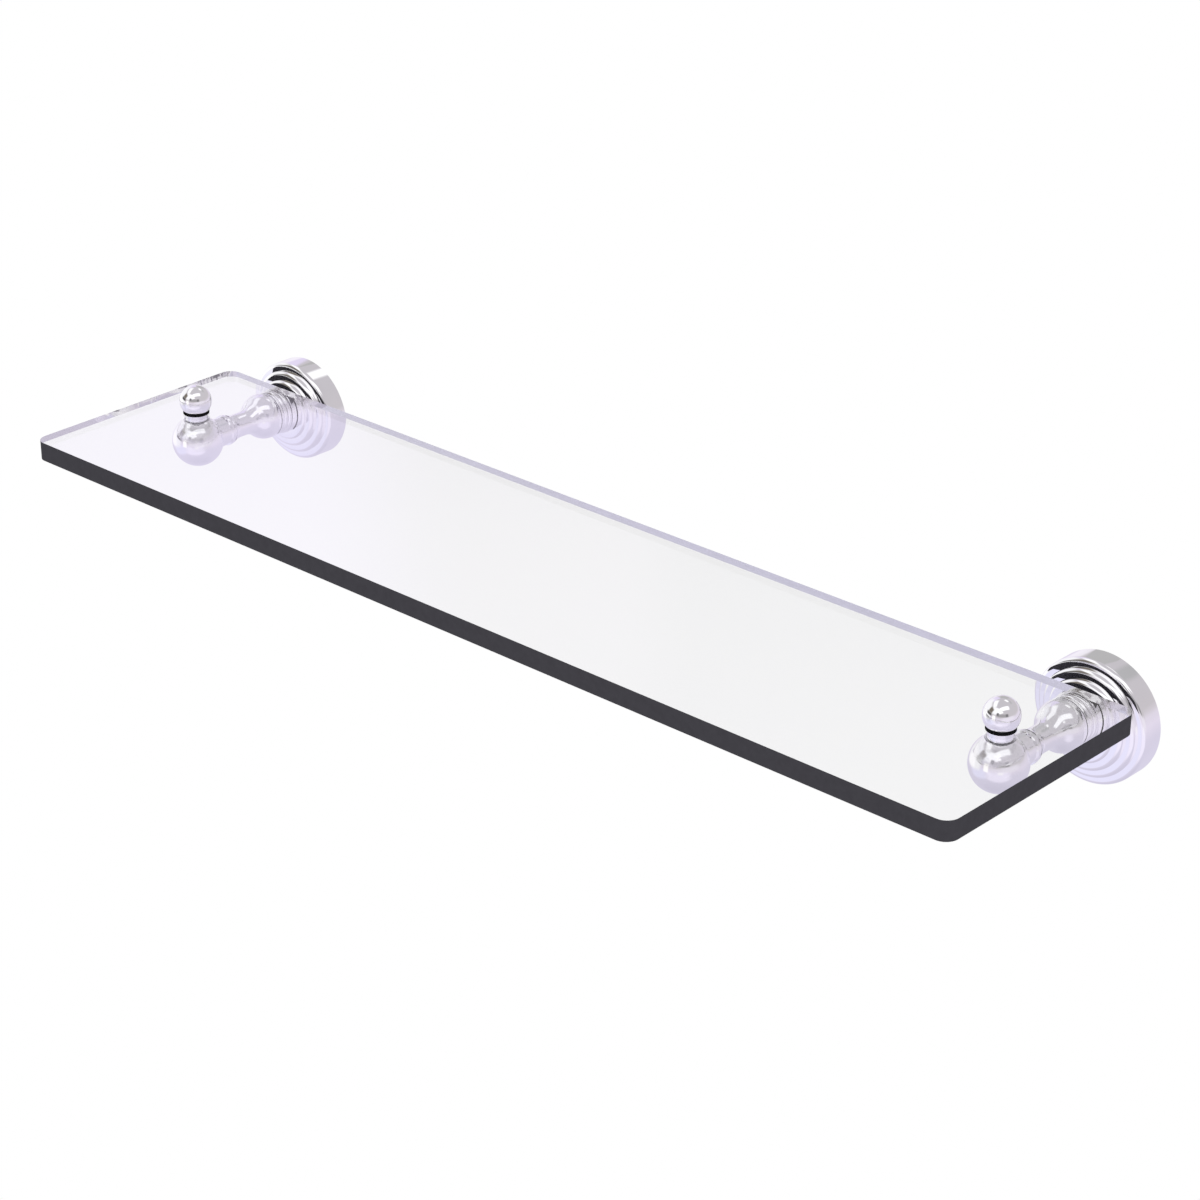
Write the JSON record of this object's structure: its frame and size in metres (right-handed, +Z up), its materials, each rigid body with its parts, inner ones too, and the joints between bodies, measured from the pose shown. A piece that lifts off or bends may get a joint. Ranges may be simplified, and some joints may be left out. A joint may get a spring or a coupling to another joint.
{
  "type": "wall shelf",
  "caption": "Glass wall shelf clamped by screw-down ball finials onto two turned chrome brackets with stepped round wall flanges.",
  "frame": {"origin": "on the wall plane, midway between the two brackets and level with the axes of their arms", "axes": "+X along the shelf, +Y into the wall, +Z up"},
  "size_m": [0.5588, 0.1508, 0.0644],
  "materials": {
    "glass": "clear, flat polished edges",
    "chrome": "polished chrome plate",
    "zinc": "zinc plated, hidden",
    "grub": "dark oiled steel",
    "rubber": "matt black",
    "clear_vinyl": "clear soft vinyl",
    "nylon": "natural white nylon"
  },
  "bodies": {
    "shelf_on_brackets": {"glass_shelf": "glass", "left_wall_flange": "chrome", "left_wall_plate": "zinc", "left_set_screw": "grub", "left_rod_nut": "zinc", "left_lock_washer": "zinc", "left_tie_rod": "zinc", "left_ferrule": "chrome", "left_spindle": "chrome", "left_support_ball": "chrome", "left_seat_washer": "clear_vinyl", "left_hole_sleeve": "nylon", "right_wall_flange": "chrome", "right_wall_plate": "zinc", "right_set_screw": "grub", "right_rod_nut": "zinc", "right_lock_washer": "zinc", "right_tie_rod": "zinc", "right_ferrule": "chrome", "right_spindle": "chrome", "right_support_ball": "chrome", "right_seat_washer": "clear_vinyl", "right_hole_sleeve": "nylon"},
    "left_finial_washer": {"left_top_washer": "rubber"},
    "left_finial_knob": {"left_finial": "chrome", "left_finial_stud": "zinc"},
    "right_finial_washer": {"right_top_washer": "rubber"},
    "right_finial_knob": {"right_finial": "chrome", "right_finial_stud": "zinc"}
  },
  "joints": [
    {"name": "left_finial_lift", "type": "slide", "parent": "shelf_on_brackets", "child": "left_finial_washer", "axis": [0, 0, 1], "range_m": [0, 0.008]},
    {"name": "left_finial_turn", "type": "hinge", "parent": "left_finial_washer", "child": "left_finial_knob", "pos_m": [-0.24765, -0.0746, 0.028], "axis": [0, 0, 1], "range_deg": [0, 3600]},
    {"name": "right_finial_lift", "type": "slide", "parent": "shelf_on_brackets", "child": "right_finial_washer", "axis": [0, 0, 1], "range_m": [0, 0.008]},
    {"name": "right_finial_turn", "type": "hinge", "parent": "right_finial_washer", "child": "right_finial_knob", "pos_m": [0.24765, -0.0746, 0.028], "axis": [0, 0, 1], "range_deg": [0, 3600]}
  ],
  "couplings": [
    {"joint": "left_finial_lift", "follows": "left_finial_turn", "m_per_rad": 0.00012732},
    {"joint": "right_finial_lift", "follows": "right_finial_turn", "m_per_rad": 0.00012732}
  ]
}
